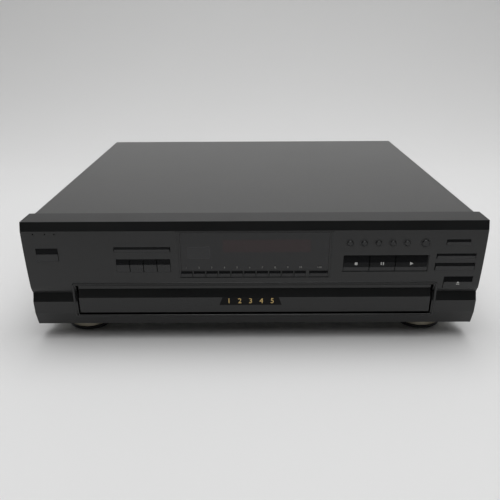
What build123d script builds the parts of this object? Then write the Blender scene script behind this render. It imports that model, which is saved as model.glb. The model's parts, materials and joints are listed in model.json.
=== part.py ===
from build123d import *
from math import cos, pi, radians, sin, sqrt
import os

# Multi disc CD changer: a 430 mm hi-fi unit with a front drawer that holds a five-disc carousel.
# Millimetres. X to the right, Y to the rear, Z up. The origin is under the middle of the case, on
# the surface that the feet stand on.

os.makedirs("parts", exist_ok=True)

# ---------------------------------------------------------------- driving dimensions
width = 430.0              # fascia, side to side
fascia_height = 109.0
fascia_depth = 27.5
foot_height = 16.0
cover_depth = 353.5        # steel cover, behind the fascia
jack_reach = 7.0           # phono jacks, behind the cover
key_reach = 1.0            # round keys, in front of the crown
depth = key_reach + fascia_depth + cover_depth + jack_reach

bottom_z = foot_height
top_z = bottom_z + fascia_height
front_y = -depth / 2 + key_reach
fascia_rear_y = front_y + fascia_depth
rear_y = fascia_rear_y + cover_depth

slide_fit = 0.3            # around keys and sliding parts
pin_fit = 0.05             # radial play of a part that turns on a pin

# fascia mould: a crown that leans forward, a face that curves back, and a chin over the drawer
fascia_wall = 3.0
crown_setback = 2.5
crown_height = 8.5
face_radius = 515.0
chin_drop = 65.0
groove_drop = 74.0
groove_setback = 6.9
skirt_drop = 82.4
skirt_setback = 3.5
heel_drop = 95.0
heel_setback = 8.5

# drawer and its front
drawer_opening = 344.0
opening_top_drop = 64.9
opening_bottom_drop = 98.3
drawer_gap = 1.7           # at each end of the drawer front
drawer_front_top_gap = 0.8
drawer_front_bottom_gap = 3.1
drawer_wall = 2.4
drawer_travel = 270.0

# keys
key_travel = 1.0
key_proud = 0.9
key_flange = 1.5           # lip behind the fascia that stops a key from falling out
switch_height = 3.5
board_setback = 22.0       # front of the control board behind the fascia's front
board_thickness = 1.6

# carousel
disc_diameter = 120.0
small_disc_diameter = 80.0
disc_play = 0.6            # a well is this much larger than its disc, on the radius
disc_thickness = 1.2
disc_places = 5
well_wall = 0.8
well_depth = 6.0
carousel_height = 8.0
carousel_setback = 182.5   # its axis, behind the fascia's front
carousel_rim_gap = 1.2
gear_module = 1.5
hub_teeth = 40
small_teeth = 16
pinion_teeth = 14

well_radius = disc_diameter / 2 + disc_play
disc_pitch = (2 * well_radius + well_wall) / (2 * sin(pi / disc_places))
carousel_radius = disc_pitch + well_radius + well_wall
carousel_y = front_y + carousel_setback
disc_y = carousel_y + disc_pitch

# heights in the mechanism, above the chassis
chassis_thickness = 1.0
deck_height = 3.0          # underside of the loader deck above the chassis
deck_thickness = 2.5
tray_height = 18.0         # underside of the drawer tray above the chassis
tray_floor = 2.0
carousel_lift = 11.0       # underside of the carousel above the tray's underside
lift_travel = 10.5         # the traverse rises this far to pick a disc up
disc_lift = 5.0            # a disc on the raised turntable, above its well
chassis_floor = bottom_z + chassis_thickness
deck_z = chassis_floor + deck_height
tray_z = chassis_floor + tray_height
carousel_z = tray_z + carousel_lift
well_z = carousel_z + carousel_height - well_depth


def face_y(z):
    """Y of the fascia's face at a height: a large arc that is upright at the foot of the crown."""
    drop = top_z - crown_height - z
    return front_y + face_radius - sqrt(face_radius**2 - drop**2)


def face_slab(left, right, low, high, front, back):
    """A slab that follows the fascia's curved face, between two depths behind it."""
    with BuildPart() as slab:
        with BuildSketch(Plane.YZ.offset(left)):
            with BuildLine():
                for depth_behind in (front, back):
                    ThreePointArc(*[(face_y(z) + depth_behind, z) for z in (low, (low + high) / 2, high)])
                Line((face_y(low) + front, low), (face_y(low) + back, low))
                Line((face_y(high) + front, high), (face_y(high) + back, high))
            make_face()
        extrude(amount=right - left)
    return slab.part


def block(left, right, front, back, low, high):
    """A plain block between six coordinates."""
    with BuildPart() as solid:
        with BuildSketch(Plane.XY.offset(low)):
            with Locations(((left + right) / 2, (front + back) / 2)):
                Rectangle(right - left, back - front)
        extrude(amount=high - low)
    return solid.part


def finish(part, label):
    """Name a finished piece and write it to its own file."""
    part.label = label
    export_step(part, f"parts/{label}.step")


# ---------------------------------------------------------------- where the keys are
# Each key is (name, centre X, centre Z, width, height). Distances are below the fascia's top edge.
left_side, right_side = -width / 2, width / 2
frame_left, frame_right = left_side + 144.0, right_side - 143.2
frame_top_drop, frame_bottom_drop = 9.6, 56.7
frame_depth = 0.6
window_margin = 2.2
window_drop = 48.9
window_seat = 0.1          # behind the window, in its pocket

power_key = ("power_key", left_side + 21.7, top_z - 32.1, 20.1, 13.0)
scan_bar = ("scan_bar", left_side + 110.5, top_z - 26.9, 51.4, 4.6)
mode_pitch, mode_gap = 12.8, 0.7
mode_keys = [(f"mode_key_{n + 1}", left_side + 91.4 + n * mode_pitch, top_z - 43.6, mode_pitch - mode_gap, 13.2)
             for n in range(4)]
number_gap = 1.5
over_10_width = 17.4
number_pitch = (frame_right - frame_left - over_10_width - 5.9) / 10
number_keys = [(f"number_key_{n + 1}", frame_left + 0.95 + (n + 0.5) * number_pitch, top_z - 52.9,
                number_pitch - number_gap, 5.6) for n in range(10)]
number_keys.append(("number_key_over_10", frame_right - 2.2 - over_10_width / 2, top_z - 52.9,
                    over_10_width, 5.6))
recess_left, recess_right = right_side - 132.1, right_side - 51.4
recess_top_drop, recess_bottom_drop = 33.5, 50.7
recess_depth = 0.8
stop_right, pause_right = right_side - 106.8, right_side - 82.4
transport_gap = 0.7
transport_keys = [
    (name, (left + right) / 2, top_z - (recess_top_drop + recess_bottom_drop) / 2,
     right - left - transport_gap, recess_bottom_drop - recess_top_drop - 2 * transport_gap)
    for name, left, right in (("stop_key", recess_left + transport_gap, stop_right),
                              ("pause_key", stop_right, pause_right),
                              ("play_key", pause_right, recess_right - transport_gap))]
program_key = ("program_key", right_side - 26.1, top_z - 20.7, 21.8, 5.2)
search_rocker = ("search_rocker", right_side - 26.3, top_z - 34.8, 35.6, 4.8)
skip_rocker = ("skip_rocker", right_side - 26.3, top_z - 45.7, 36.3, 7.2)
open_close_key = ("open_close_key", right_side - 20.7, top_z - 63.0, 27.0, 12.6)
rockers = [scan_bar, search_rocker, skip_rocker]
square_keys = [power_key, *mode_keys, *number_keys, *transport_keys, program_key, open_close_key]

disc_key_pitch, disc_key_radius = 13.2, 2.7
disc_ring, ring_proud = 0.8, 0.4
round_keys = [(f"disc_key_{n + 1}", right_side - 126.3 + n * disc_key_pitch, top_z - 21.2, disc_key_radius)
              for n in range(disc_places)]
skip_key_radius = 3.5
round_keys.append(("disc_skip_key", right_side - 56.5, top_z - 21.4, skip_key_radius))

board_front = front_y + board_setback
switch_front = board_front - switch_height
board_low = top_z - opening_top_drop + 0.4
rocker_angle = 2.5         # a rocker tips this far each way about an upright axis
rocker_flange = 1 / 3      # only the middle third of a rocker has the lip, which hardly swings
rocker_play = 0.7          # a rocker's ends swing, so its hole is longer
stem_inset = 4.0           # a rocker's two stems, from its ends
post_x = (left_side + 50.0, frame_left - 4.5, frame_right + 4.7, right_side - 47.5)
post_drops = (7.5, 58.5)


def set_back(key):
    """How deep the face around a key lies: the keys under the window and in the recess lie lower."""
    return frame_depth if key in number_keys else recess_depth if key in transport_keys else 0.0


def flange_y(key):
    """Front of the lip behind the fascia, clear of the wall at the key's lower edge."""
    low = key[2] - key[4] / 2 - key_flange
    below_chin = max(0.0, top_z - low - chin_drop)
    swing = rocker_flange / 2 * key[3] * sin(radians(rocker_angle)) if key in rockers else 0.0
    return face_y(low) + fascia_wall + slide_fit + 0.45 * below_chin + swing


# ---------------------------------------------------------------- fascia
drawer_half = drawer_opening / 2
chin_z = top_z - chin_drop
with BuildPart() as fascia:
    with BuildSketch(Plane.YZ):
        with BuildLine():
            crown = Polyline((fascia_rear_y, top_z), (front_y + crown_setback, top_z),
                             (front_y, top_z - crown_height))
            middle_z = top_z - (crown_height + chin_drop) / 2
            face = ThreePointArc(crown @ 1, (face_y(middle_z), middle_z), (face_y(chin_z), chin_z))
            chin = TangentArc(face @ 1, (front_y + groove_setback, top_z - groove_drop),
                              tangent=face % 1)
            Polyline(chin @ 1, (front_y + skirt_setback, top_z - skirt_drop),
                     (front_y + skirt_setback + 0.6, top_z - heel_drop),
                     (front_y + heel_setback, bottom_z), (fascia_rear_y, bottom_z), crown @ 0)
        make_face()
    extrude(amount=width / 2, both=True)
    offset(amount=-fascia_wall, openings=fascia.faces().sort_by(Axis.Y)[-1])
    # the drawer's opening
    add(block(-drawer_half, drawer_half, front_y - 1, fascia_rear_y - fascia_wall,
              top_z - opening_bottom_drop, top_z - opening_top_drop), mode=Mode.SUBTRACT)
    # the display frame with its round lower corners, the window's pocket and the hole behind it
    add(face_slab(frame_left, frame_right, top_z - frame_bottom_drop, top_z - frame_top_drop,
                  -1, frame_depth), mode=Mode.SUBTRACT)
    window_edges = (frame_left + window_margin, frame_right - window_margin,
                    top_z - window_drop, top_z - frame_top_drop - 0.9)
    add(face_slab(window_edges[0] - 0.2, window_edges[1] + 0.2, window_edges[2] - 0.2,
                  window_edges[3] + 0.2, 0, fascia_wall - 0.6), mode=Mode.SUBTRACT)
    add(block(window_edges[0] + 2, window_edges[1] - 2, front_y, board_front - 8,
              window_edges[2] + 2, window_edges[3] - 2), mode=Mode.SUBTRACT)
    # the recess of the three large keys
    add(face_slab(recess_left, recess_right, top_z - recess_bottom_drop, top_z - recess_top_drop,
                  -1, recess_depth), mode=Mode.SUBTRACT)
    # a hole for every key, and a raised ring round each disc key
    for row in [mode_keys, transport_keys, *[[key] for key in square_keys + rockers]]:
        play = rocker_play if row[0] in rockers else slide_fit
        left, right = row[0][1] - row[0][3] / 2 - play, row[-1][1] + row[-1][3] / 2 + play
        z, reach = row[0][2], row[0][4] / 2 + slide_fit
        add(block(left, right, front_y - 1, board_front - 8, z - reach, z + reach), mode=Mode.SUBTRACT)
    for name, x, z, radius in round_keys:
        with BuildSketch(Plane.XZ.offset(-face_y(z) - 1.5)):
            with Locations((x, z)):
                Circle(radius + slide_fit + disc_ring)
        extrude(amount=1.5 + ring_proud)
        with BuildSketch(Plane.XZ.offset(-face_y(z) - 8)):
            with Locations((x, z)):
                Circle(radius + slide_fit)
        extrude(amount=10, mode=Mode.SUBTRACT)
    # three blind holes where a nameplate's pins would sit
    with BuildSketch(Plane.XZ.offset(-front_y - 1.6)):
        with Locations(*[(left_side + inset, top_z - 11.2) for inset in (11.5, 22.5, 31.2)]):
            RegularPolygon(0.8, 8)
    extrude(amount=3, mode=Mode.SUBTRACT)
    # posts that carry the control board
    for z in (top_z - post_drops[0], top_z - post_drops[1]):
        with BuildSketch(Plane.XZ.offset(-board_front)):
            with Locations(*[(x, z) for x in post_x]):
                Circle(2.5)
        extrude(amount=board_front - face_y(z) - fascia_wall / 2)
finish(fascia.part, "fascia")

# ---------------------------------------------------------------- window
with BuildPart() as display_window:
    add(face_slab(*window_edges, frame_depth, fascia_wall - 0.6 - window_seat))
finish(display_window.part, "display_window")


# ---------------------------------------------------------------- keys
def stem_places(key):
    """X of each stem: one in the middle, or one near each end of a rocker."""
    reach = key[3] / 2 - stem_inset
    return [key[1] - reach, key[1] + reach] if key in rockers else [key[1]]


def stem_z(key):
    """Z of a key's stems, at least a switch's height above the board's lower edge."""
    return max(key[2], board_low + 3.2)


def make_key(key):
    """A key that leans out to a ridge: the part above the ridge faces up, the part below forward."""
    name, x, z, key_width, key_height = key
    low, high = z - key_height / 2, z + key_height / 2
    ridge = high - 0.42 * key_height
    back = flange_y(key)
    deep = set_back(key)
    with BuildPart() as body:
        with BuildSketch(Plane.YZ.offset(x - key_width / 2)):
            Polygon((back, low), (face_y(low) + deep - 0.5 * key_proud, low),
                    (face_y(ridge) + deep - key_proud, ridge),
                    (face_y(high) + deep + 0.2, high), (back, high), align=None)
        extrude(amount=key_width)
        chamfer(body.edges().filter_by(Axis.X).group_by(Axis.Y)[0], 0.25)
        lip = key_width * (rocker_flange if key in rockers else 1)
        add(block(x - lip / 2, x + lip / 2, back, back + 1.2, low - key_flange, high + key_flange))
        add(block(x - key_width / 2, x + key_width / 2, back, back + 1.2, low, high))
        for stem_x in stem_places(key):
            add(block(stem_x - 1.5, stem_x + 1.5, back, switch_front - 1 - key_travel - slide_fit,
                      stem_z(key) - 1.5, stem_z(key) + 1.5))
    finish(body.part, name)


for key in square_keys + rockers:
    make_key(key)

for name, x, z, radius in round_keys:
    lip_y = face_y(z) + fascia_wall + slide_fit
    with BuildPart() as round_key:
        with BuildSketch(Plane.XZ.offset(-lip_y)):
            with Locations((x, z)):
                Circle(radius)
        extrude(amount=lip_y - front_y + key_reach)
        chamfer(round_key.edges().group_by(Axis.Y)[0], 0.5)
        with BuildSketch(Plane.XZ.offset(-lip_y - 1.2)):
            with Locations((x, z)):
                Circle(radius + key_flange)
        extrude(amount=1.2)
        add(block(x - 1.5, x + 1.5, lip_y + 1, switch_front - 1 - key_travel - slide_fit,
                  z - 1.5, z + 1.5))
    finish(round_key.part, name)

# ---------------------------------------------------------------- control board
with BuildPart() as control_board:
    add(block(-width / 2 + 8, width / 2 - 8, board_front, board_front + board_thickness,
              board_low, top_z - fascia_wall - 1.5))
    # a tact switch in front of every stem
    switch_places = [(x, stem_z(key)) for key in square_keys + rockers for x in stem_places(key)]
    switch_places += [(x, z) for name, x, z, radius in round_keys]
    with BuildSketch(Plane.XZ.offset(-board_front)):
        with Locations(*switch_places):
            Rectangle(6, 5.6)
    extrude(amount=switch_height)
    with BuildSketch(Plane.XZ.offset(-switch_front)):
        with Locations(*switch_places):
            Rectangle(2.6, 2.6)
    extrude(amount=1)
    # the display tube on its two holders
    tube_z = (window_edges[2] + window_edges[3]) / 2
    add(block(frame_left + 21, frame_right - 13.8, board_front - 12, board_front - 6.5,
              tube_z - 13.5, tube_z + 13.5))
    for x in (frame_left + 23, frame_right - 18.8):
        add(block(x, x + 3, board_front - 6.5, board_front, tube_z - 11, tube_z + 11))
finish(control_board.part, "control_board")

# ---------------------------------------------------------------- cover and chassis
sheet = 1.0
cover_inset = 2.7          # each side of the cover, in from the fascia's side
cover_step = 0.7           # top of the cover below the fascia's top
cover_bottom = 2.0         # lower edge above the chassis
joint_gap = 0.3            # between the cover and the fascia
cover_half = width / 2 - cover_inset
cover_top = top_z - cover_step
cover_front = fascia_rear_y + joint_gap
rear_lip = 11.0
side_screw_setbacks = (60.0, 290.0)   # behind the fascia
side_screw_height = 7.0
rear_screw_x = 186.0
screw_radius, screw_head_radius, screw_head = 1.5, 3.8, 1.9
side_screw_y = [fascia_rear_y + setback for setback in side_screw_setbacks]
side_screw_z = bottom_z + side_screw_height
rear_screw_places = [(x, cover_top - sheet - rear_lip / 2 + 0.5) for x in (-rear_screw_x, 0, rear_screw_x)]

with BuildPart() as top_cover:
    with BuildSketch(Plane.XZ.offset(-rear_y)):
        with Locations((0, (cover_top + bottom_z + cover_bottom) / 2)):
            Rectangle(2 * cover_half, cover_top - bottom_z - cover_bottom)
    extrude(amount=rear_y - cover_front)
    long_edges = top_cover.edges().filter_by(Axis.Y).group_by(Axis.Z)[-1]
    fillet(long_edges, 2.5)
    open_faces = top_cover.faces().filter_by(Axis.Y) + top_cover.faces().sort_by(Axis.Z)[:1]
    offset(amount=-sheet, openings=open_faces)
    # the rear edge is folded down
    add(block(-cover_half + 8, cover_half - 8, rear_y - sheet, rear_y,
              cover_top - sheet - rear_lip, cover_top - sheet))
    # ventilation slots in both sides
    with BuildSketch(Plane.YZ.offset(-width)):
        with Locations((rear_y - 78, bottom_z + 62)):
            with GridLocations(9, 1, 10, 1):
                Rectangle(3, 34)
    extrude(amount=2 * width, mode=Mode.SUBTRACT)
    with BuildSketch(Plane.YZ.offset(-width)):
        with Locations(*[(y, side_screw_z) for y in side_screw_y]):
            Circle(screw_radius + 0.3)
    extrude(amount=2 * width, mode=Mode.SUBTRACT)
    with BuildSketch(Plane.XZ.offset(-rear_y - 1)):
        with Locations(*rear_screw_places):
            Circle(screw_radius + 0.3)
    extrude(amount=3, mode=Mode.SUBTRACT)
finish(top_cover.part, "top_cover")

chassis_half = cover_half - sheet - 0.4
panel_rear = rear_y - sheet
panel_front = panel_rear - sheet
side_flange = 12.0
with BuildPart() as bottom_chassis:
    add(block(-chassis_half, chassis_half, fascia_rear_y, panel_front, bottom_z, chassis_floor))
    for side in (-1, 1):
        edge = sorted((side * chassis_half, side * (chassis_half - sheet)))
        add(block(*edge, fascia_rear_y + 4, panel_front - 4, bottom_z, bottom_z + side_flange))
    add(block(-chassis_half + 8, chassis_half - 8, fascia_rear_y, fascia_rear_y + sheet,
              bottom_z, bottom_z + 7))
    with BuildSketch(Plane.XY.offset(bottom_z - 1)):
        for x in (-150, 150):
            with Locations((x, rear_y - 90)):
                with GridLocations(1, 9, 1, 7):
                    Rectangle(44, 3)
    extrude(amount=3, mode=Mode.SUBTRACT)
    with BuildSketch(Plane.YZ.offset(-width)):
        with Locations(*[(y, side_screw_z) for y in side_screw_y]):
            Circle(screw_radius + 0.1)
    extrude(amount=2 * width, mode=Mode.SUBTRACT)
finish(bottom_chassis.part, "bottom_chassis")

# ---------------------------------------------------------------- rear panel and its sockets
jack_x = (140.0, 156.0)
jack_z = top_z - 35.0
jack_radius = 4.15
jack_bore = 1.7
inlet_x, inlet_z = -150.0, bottom_z + 34.0
inlet_width, inlet_height, inlet_depth = 16.0, 9.4, 11.0
inlet_body = 2.0           # moulding round the inlet's cavity
inlet_body_depth = 14.0

with BuildPart() as rear_panel:
    add(block(-chassis_half, chassis_half, panel_front, panel_rear, bottom_z, cover_top - sheet - 0.3))
    fillet(rear_panel.edges().filter_by(Axis.Y).group_by(Axis.Z)[-1], 2.5)
    with BuildSketch(Plane.XZ.offset(-panel_rear - 1)):
        with Locations(*[(x, jack_z) for x in jack_x]):
            Circle(jack_radius + 0.4)
        with Locations((inlet_x, inlet_z)):
            Rectangle(inlet_width + 2 * inlet_body + 0.4, inlet_height + 2 * inlet_body + 0.4)
    extrude(amount=3, mode=Mode.SUBTRACT)
    with BuildSketch(Plane.XZ.offset(-panel_rear - 1)):
        with Locations(*rear_screw_places):
            Circle(screw_radius + 0.1)
    extrude(amount=3, mode=Mode.SUBTRACT)
finish(rear_panel.part, "rear_panel")

board_z = chassis_floor + 55.0     # underside of the main board
main_board_thickness = 1.6
with BuildPart() as rear_sockets:
    # the pair of line-out jacks, on a block that stands on the main board
    add(block(jack_x[0] - 8, jack_x[1] + 8, panel_front - 16.5, panel_front - 0.3,
              board_z + main_board_thickness, jack_z + 7))
    with BuildSketch(Plane.XZ.offset(-panel_front + 2)):
        with Locations(*[(x, jack_z) for x in jack_x]):
            Circle(jack_radius)
    extrude(amount=-(depth / 2 - panel_front + 2))
    # a collar in the panel's hole
    with BuildSketch(Plane.XZ.offset(-panel_rear)):
        with Locations(*[(x, jack_z) for x in jack_x]):
            Circle(jack_radius + 0.3)
    extrude(amount=sheet + 2)
    with BuildSketch(Plane.XZ.offset(-depth / 2)):
        with Locations(*[(x, jack_z) for x in jack_x]):
            Circle(jack_bore)
    extrude(amount=8, mode=Mode.SUBTRACT)
    # the mains inlet: a round-ended cavity with two pins
    add(block(inlet_x - inlet_width / 2 - inlet_body, inlet_x + inlet_width / 2 + inlet_body,
              panel_rear - inlet_body_depth, panel_rear + 0.6,
              inlet_z - inlet_height / 2 - inlet_body, inlet_z + inlet_height / 2 + inlet_body))
    with BuildSketch(Plane.XZ.offset(-panel_rear - 0.6)):
        with Locations((inlet_x, inlet_z)):
            SlotOverall(inlet_width, inlet_height)
    extrude(amount=inlet_depth, mode=Mode.SUBTRACT)
    with BuildSketch(Plane.XZ.offset(-panel_rear + inlet_depth)):
        with Locations((inlet_x - 4.8, inlet_z), (inlet_x + 4.8, inlet_z)):
            Circle(1.2)
    extrude(amount=-inlet_depth + 1)
finish(rear_sockets.part, "rear_sockets")

# ---------------------------------------------------------------- feet and screws
foot_radius = 22.5
foot_x = 173.0
foot_setback = 45.0
rear_foot_inset = 42.0
foot_ring_depth = 0.8
with BuildPart() as feet:
    with BuildSketch(Plane.XZ):
        with BuildLine():
            Polyline((0, 0.8), (foot_radius - 7, 0.8), (foot_radius - 6.5, 0), (foot_radius - 1.5, 0),
                     (foot_radius, 1.5), (foot_radius, 3.5), (foot_radius - foot_ring_depth, 4),
                     (foot_radius - foot_ring_depth, 9), (foot_radius, 9.5),
                     (foot_radius, foot_height - 2.5), (foot_radius - 3, foot_height),
                     (0, foot_height), close=True)
        make_face()
    revolve(axis=Axis.Z)
with BuildPart() as all_feet:
    foot_places = [(x, y) for x in (-foot_x, foot_x)
                   for y in (front_y + foot_setback, rear_y - rear_foot_inset)]
    with Locations(*foot_places):
        add(feet.part)
finish(all_feet.part, "feet")

with BuildPart() as case_screws:
    for side in (-1, 1):
        with BuildSketch(Plane.YZ.offset(side * cover_half)):
            with Locations(*[(y, side_screw_z) for y in side_screw_y]):
                Circle(screw_head_radius)
        extrude(amount=side * screw_head)
        with BuildSketch(Plane.YZ.offset(side * cover_half)):
            with Locations(*[(y, side_screw_z) for y in side_screw_y]):
                RegularPolygon(screw_radius, 12)
        extrude(amount=-side * 4)
    with BuildSketch(Plane.XZ.offset(-rear_y)):
        with Locations(*rear_screw_places):
            Circle(screw_head_radius)
    extrude(amount=-screw_head)
    with BuildSketch(Plane.XZ.offset(-rear_y)):
        with Locations(*rear_screw_places):
            RegularPolygon(screw_radius, 12)
    extrude(amount=4)
finish(case_screws.part, "case_screws")

# ---------------------------------------------------------------- loader deck
wall_thickness = 3.0
tray_half = drawer_half - 2.5
tray_side_gap = 1.5        # between the tray's side and the deck's wall
wall_inner = tray_half + tray_side_gap
wall_outer = wall_inner + wall_thickness
tray_side_height = 22.0    # of the tray's side wall
tab_gap = 0.5
wall_top = tray_z + tray_side_height + 6.0
deck_front = fascia_rear_y + 4.0
deck_rear = disc_y + 82.0
pulley_run, motor_run = 18.0, 4.0      # radii at which the belt runs
deck_top = deck_z + deck_thickness
ear_half, ear_length = 54.0, 10.0
well_half = ear_half - 2.0     # half width of the opening that the traverse rises through
traverse_front = disc_y - 22.0
traverse_rear = disc_y + 76.0
traverse_half = well_half - 7.0
ear_y = (traverse_front + 3.0, traverse_rear - 3.0 - ear_length)
ledge_z = deck_top + 7.0
pinion_radius = gear_module * pinion_teeth / 2
pinion_x = -drawer_half + 44.0
pinion_y = front_y + 74.0
motor_x = -width / 2 + 27.0
motor_y = pinion_y - 20.0
rack_x = pinion_x + pinion_radius

with BuildPart() as loader_base:
    add(block(-wall_outer, wall_outer, deck_front, deck_rear, deck_z, deck_top))
    add(block(-well_half, well_half, traverse_front - 4, traverse_rear + 2, deck_z - 1, deck_top + 1),
        mode=Mode.SUBTRACT)
    for side in (-1, 1):
        # the side wall, the rail that the tray runs on, and the tabs that hold the tray down
        add(block(*sorted((side * wall_inner, side * wall_outer)), deck_front, deck_rear,
                  deck_z, wall_top))
        add(block(*sorted((side * (tray_half - 5), side * (tray_half - 2.5))), deck_front,
                  deck_rear - 20, deck_top, tray_z - slide_fit))
        for y in (deck_front + 12, carousel_y, disc_y + 10):
            add(block(*sorted((side * (tray_half - 3), side * wall_inner)), y, y + 14,
                      tray_z + tray_side_height + tab_gap, tray_z + tray_side_height + tab_gap + 2.5))
        # ledges that the traverse's ears rest on
        for y in ear_y:
            add(block(*sorted((side * (ear_half - 7), side * (ear_half + 1))), y, y + ear_length,
                      deck_z, ledge_z))
    # legs on the chassis
    with BuildSketch(Plane.XY.offset(chassis_floor)):
        with Locations((0, (deck_front + deck_rear) / 2)):
            with GridLocations(2 * wall_inner - 20, deck_rear - deck_front - 20, 2, 2):
                Circle(6)
    extrude(amount=deck_height)
    # the belt passes under the tray, through the left wall and rail
    add(block(-wall_outer - 1, -tray_half + 6, motor_y - 14, pinion_y + 22, deck_top, tray_z - 6.5),
        mode=Mode.SUBTRACT)
    # platform of the loading motor, outside the wall
    add(block(motor_x - 13, -wall_inner, motor_y - 15, motor_y + 15, tray_z - 6.5, tray_z - 4.5))
    with BuildSketch(Plane.XY.offset(tray_z - 7)):
        with Locations((motor_x, motor_y)):
            Circle(3.2)
    extrude(amount=3, mode=Mode.SUBTRACT)
    # pin of the pulley gear
    with BuildSketch(Plane.XY.offset(deck_top)):
        with Locations((pinion_x, pinion_y)):
            Circle(2.0)
    extrude(amount=tray_z - 1.5 - deck_top)
    # posts under the main board
    with BuildSketch(Plane.XY.offset(wall_top)):
        with Locations((wall_inner + wall_thickness / 2, carousel_y + 60),
                       (wall_inner + wall_thickness / 2, deck_rear - 6)):
            Circle(wall_thickness / 2)
    extrude(amount=board_z - wall_top)
finish(loader_base.part, "loader_base")

# ---------------------------------------------------------------- gears
tooth_tip, tooth_root = 0.67 * gear_module, 1.73 * gear_module
addendum, dedendum = 0.87 * gear_module, 1.13 * gear_module


def gear(teeth, x, y, low, height, turn=0.0, bore=0.0):
    """A spur gear with straight-sided teeth, thinned for backlash."""
    root = gear_module * teeth / 2 - dedendum
    tip = gear_module * teeth / 2 + addendum
    with BuildPart() as wheel:
        with BuildSketch(Plane.XY.offset(low)):
            with Locations((x, y)):
                Circle(root)
                with PolarLocations(0, teeth, start_angle=turn):
                    Polygon((root - 0.3, -tooth_root / 2), (tip, -tooth_tip / 2),
                            (tip, tooth_tip / 2), (root - 0.3, tooth_root / 2), align=None)
                if bore:
                    Circle(bore, mode=Mode.SUBTRACT)
        extrude(amount=height)
    return wheel.part


# ---------------------------------------------------------------- drive of the drawer
pulley_z = deck_top + slide_fit
pulley_thickness = 4.6
pinion_top = tray_z - 0.6
groove = 0.7               # half the belt's thickness
belt_clear = 0.3
flange_height = 1.0
pin_radius = 2.0

with BuildPart() as pulley_gear:
    groove_z = pulley_z + pulley_thickness / 2
    with BuildSketch(Plane.XZ.offset(-pinion_y)):
        with BuildLine():
            run = pulley_run - groove - belt_clear
            rim = pulley_run + flange_height
            half = pulley_thickness / 2
            Polyline(*[(pinion_x + r, groove_z + z) for r, z in
                       ((pin_radius + pin_fit, -half), (rim, -half), (rim, -half + 0.5), (run, -1.1),
                        (run, 1.1), (rim, half - 0.5), (rim, half), (pin_radius + pin_fit, half))],
                     close=True)
        make_face()
    revolve(axis=Axis((pinion_x, pinion_y, 0), (0, 0, 1)))
    add(gear(pinion_teeth, pinion_x, pinion_y, pulley_z + pulley_thickness,
             pinion_top - pulley_z - pulley_thickness, 180 / pinion_teeth, pin_radius + pin_fit))
finish(pulley_gear.part, "pulley_gear")

shaft_radius = 1.0
platform_z = tray_z - 4.5
with BuildPart() as motor_pulley:
    with BuildSketch(Plane.XZ.offset(-motor_y)):
        with BuildLine():
            run = motor_run - groove - belt_clear
            rim = motor_run + flange_height
            Polyline(*[(motor_x + r, groove_z + z) for r, z in
                       ((shaft_radius + pin_fit, -half), (rim, -half), (rim, -half + 0.5), (run, -1.1),
                        (run, 1.1), (rim, half - 0.5), (rim, half), (shaft_radius + pin_fit, half))],
                     close=True)
        make_face()
    revolve(axis=Axis((motor_x, motor_y, 0), (0, 0, 1)))
finish(motor_pulley.part, "motor_pulley")

with BuildPart() as loading_motor:
    with BuildSketch(Plane.XY.offset(platform_z)):
        with Locations((motor_x, motor_y)):
            Circle(12)
    extrude(amount=18)
    chamfer(loading_motor.edges().group_by(Axis.Z)[-1], 1.5)
    with BuildSketch(Plane.XY.offset(pulley_z)):
        with Locations((motor_x, motor_y)):
            Circle(shaft_radius)
    extrude(amount=platform_z - pulley_z)
    with BuildSketch(Plane.XY.offset(platform_z + 18)):
        with Locations((motor_x, motor_y)):
            Circle(3)
    extrude(amount=2)
finish(loading_motor.part, "loading_motor")

with BuildPart() as drive_belt:
    for reach, mode in ((groove, Mode.ADD), (-groove, Mode.SUBTRACT)):
        with BuildSketch(Plane.XY.offset(groove_z - groove)):
            with Locations((pinion_x, pinion_y)):
                Circle(pulley_run + reach)
            with Locations((motor_x, motor_y)):
                Circle(motor_run + reach)
            make_hull()
        extrude(amount=2 * groove, mode=mode)
finish(drive_belt.part, "drive_belt")

# ---------------------------------------------------------------- disc drive
traverse_thickness = 2.0
traverse_z = ledge_z + slide_fit
traverse_top = traverse_z + traverse_thickness
motor_bottom_gap = 0.8
spindle_radius = 1.2
turntable_radius, turntable_thickness = 16.0, 2.5
hub_radius, hub_height = 7.3, 2.5
disc_plane = well_z + disc_lift - lift_travel
rod_x, rod_radius = 13.0, 1.5
rod_z = traverse_top + 4.4
lens_inner = 25.0          # lens at the innermost track
sled_half, sled_front, sled_rear = 17.0, 9.0, 11.0
pickup_travel = 35.0
sled_top = traverse_top + 7.2
block_thickness = 2.5
sled_stop = 1.5            # between the sled and a rod block

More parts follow.
